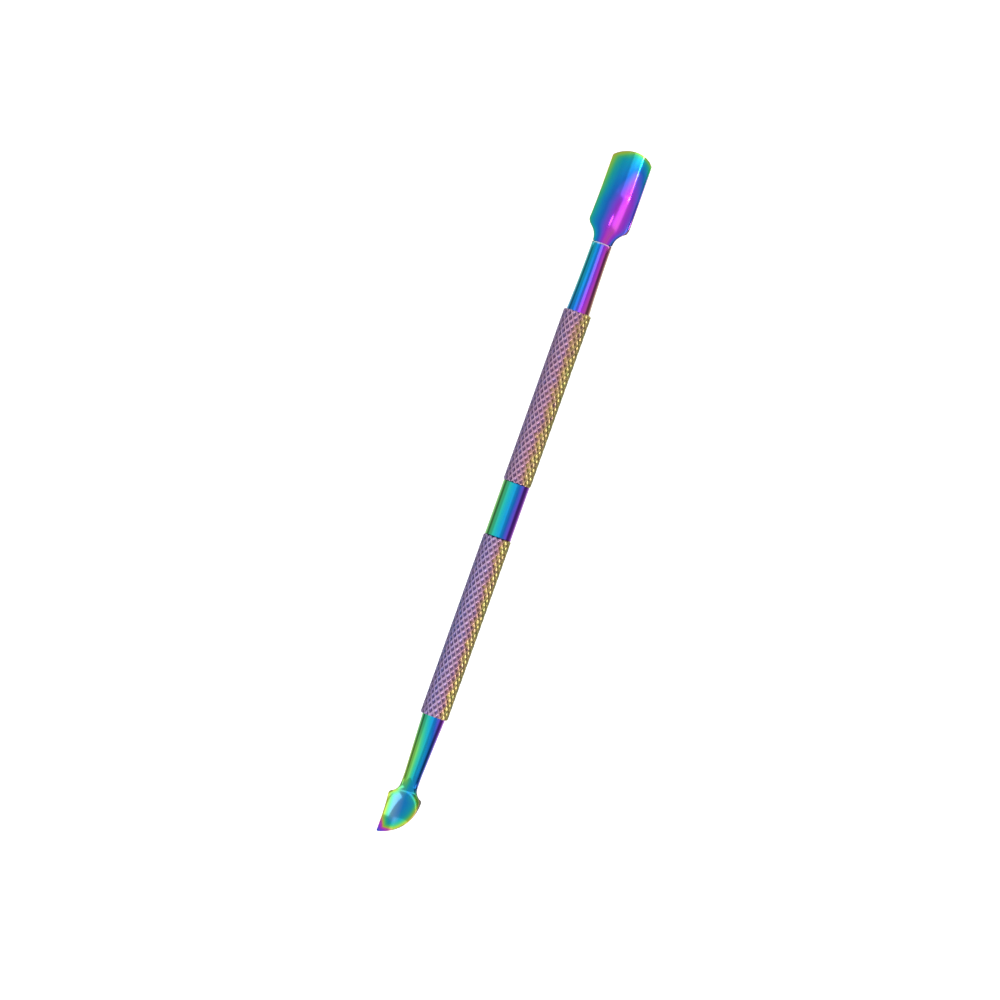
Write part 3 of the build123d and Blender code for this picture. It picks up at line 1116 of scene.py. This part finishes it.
# %% [markdown]
# The soft boxes hang over the tool. Each is given by the direction of its middle, its distance,
# its size along the tool and across it, its radiance, because a mirror shows a box by its radiance
# and not by its power, how much of it fades at the edges, and how far it is shifted along the
# tool. All lengths are in metres.

# %% Soft boxes
from mathutils import Matrix, Vector

middle = Vector((0, 0, axis_z))
towards_camera = Vector((0, -np.sin(facing), np.cos(facing)))


def hang(direction, distance, shift):
    """Where a light hangs, then its axes: along the tool, across it and away from it."""
    back = Vector(direction).normalized()
    side = back.cross(Vector((1, 0, 0))).normalized()
    along = side.cross(back).normalized()
    return middle + back * distance + Vector((shift, 0, 0)), along, side, back


def fade(share, edge):
    """One in the middle of a box, down to nought over the outer part of it."""
    inside = np.clip((1 - np.abs(share)) / edge, 0, 1)
    return inside * inside * (3 - 2 * inside)


def soft_box(name, direction, distance, length, width, radiance, edge, shift, steps=25):
    centre, along, side, _ = hang(direction, distance, shift)
    share = np.linspace(-1, 1, steps)
    points = (np.array(centre) + share[:, None, None] * np.array(along) * length / 2
              + share[None, :, None] * np.array(side) * width / 2)
    cover = fade(share, edge[0])[:, None] * fade(share, edge[1])[None, :]
    glowing_sheet(name, points, radiance, cover)


soft_boxes = [
    # name, direction, distance, length, width, radiance, fading part of ends and sides, shift
    ("over_tool", (0, 0.26, 0.966), 1.4, 0.58, 2.5, 1.2, (0.08, 0.35), -0.165),
    ("streak", towards_camera, 1.35, 0.43, 0.07, 1.6, (0.08, 0.8), -0.09),
    ("spoon_side", (0.40, 0.55, 0.80), 1.3, 0.92, 0.8, 1.55, (0.06, 0.45), 0.06),
    ("blade_side", (-0.70, -0.59, 0.38), 1.0, 1.3, 0.62, 2.0, (0.08, 0.12), 0.0),
]
for box in soft_boxes:
    soft_box(*box)
print(len(soft_boxes), "soft boxes")

# %% [markdown]
# Six small lamps finish the picture, and each shines on some pieces only. Three put the bright
# streak, the bright tip and the drop-shaped spot in the spoon, and one lights the ridge of the
# upper shank. One rakes the knurl from the blade's end, because crossing lines show only when
# light skims along them, and one lights its golden side.

# %% Lamps for single pieces
def lamp(name, direction, distance, length, width, radiance, pieces, shift):
    data = bpy.data.lights.new(name, "AREA")
    data.shape = "ELLIPSE"
    data.size, data.size_y = length, width
    data.energy = radiance * np.pi**2 / 4 * length * width
    light = bpy.data.objects.new(name, data)
    place, *axes = hang(direction, distance, shift)
    light.matrix_world = Matrix.Translation(place) @ Matrix(axes).transposed().to_4x4()
    light.visible_camera = False
    lit = bpy.data.collections.new(name)
    for piece in pieces:
        lit.objects.link(piece)
    light.light_linking.receiver_collection = lit
    bpy.context.scene.collection.objects.link(light)


grips = [upper_grip, lower_grip]
lamps = [
    # name, direction, distance, length, width, radiance, the pieces it shines on, shift
    ("spoon_streak", (0.10, 0.70, 0.71), 1.3, 0.12, 0.08, 22.0, [spoon], 0.07),
    ("spoon_tip", (0.123, 0.40, 0.91), 1.3, 0.12, 0.9, 1.0, [spoon], 0.0),
    ("spoon_drop", (0.62, 0.12, 0.77), 1.0, 0.20, 0.07, 6.0, [spoon], 0.0),
    ("shank_streak", (0.11, -0.30, 0.94), 1.4, 0.30, 0.7, 1.1, [upper_shank], 0.0),
    ("rake", (-0.76, -0.10, 0.62), 1.0, 0.40, 1.1, 3.4, grips, 0.0),
    ("gold_side", (-0.50, -0.75, 0.30), 1.0, 0.8, 0.3, 4.2, grips, 0.0),
]
for one in lamps:
    lamp(*one)
print(len(lamps), "lamps")

# %% [markdown]
# ## Camera
# A long lens from far above keeps the tool's sides parallel. The camera looks straight down at the
# hollows, rolled a little towards one side, and is turned so that the tool leans to the right.

# %% Place the camera
lens, sensor = 200.0, 36.0
frame_width = 184.1 * mm
lean = np.radians(19.61)
up = Vector((1, 0, 0))
right = Vector((0, -np.cos(facing), -np.sin(facing)))
camera_up = up * np.cos(lean) - right * np.sin(lean)
camera_right = up * np.sin(lean) + right * np.cos(lean)
slide_left, slide_down = 2.41 * mm, 1.12 * mm
aim = middle - camera_right * slide_left - camera_up * slide_down
data = bpy.data.cameras.new("camera")
data.lens, data.sensor_width = lens, sensor
data.clip_start, data.clip_end = 0.05, 20.0
camera = bpy.data.objects.new("camera", data)
distance = frame_width * lens / sensor
camera.matrix_world = (
    Matrix.Translation(aim + towards_camera * distance)
    @ Matrix((camera_right, camera_up, towards_camera)).transposed().to_4x4()
)
bpy.context.scene.collection.objects.link(camera)
bpy.context.scene.camera = camera
bpy.context.scene.view_settings.view_transform = "Standard"
print(f"camera {distance:.2f} m away")
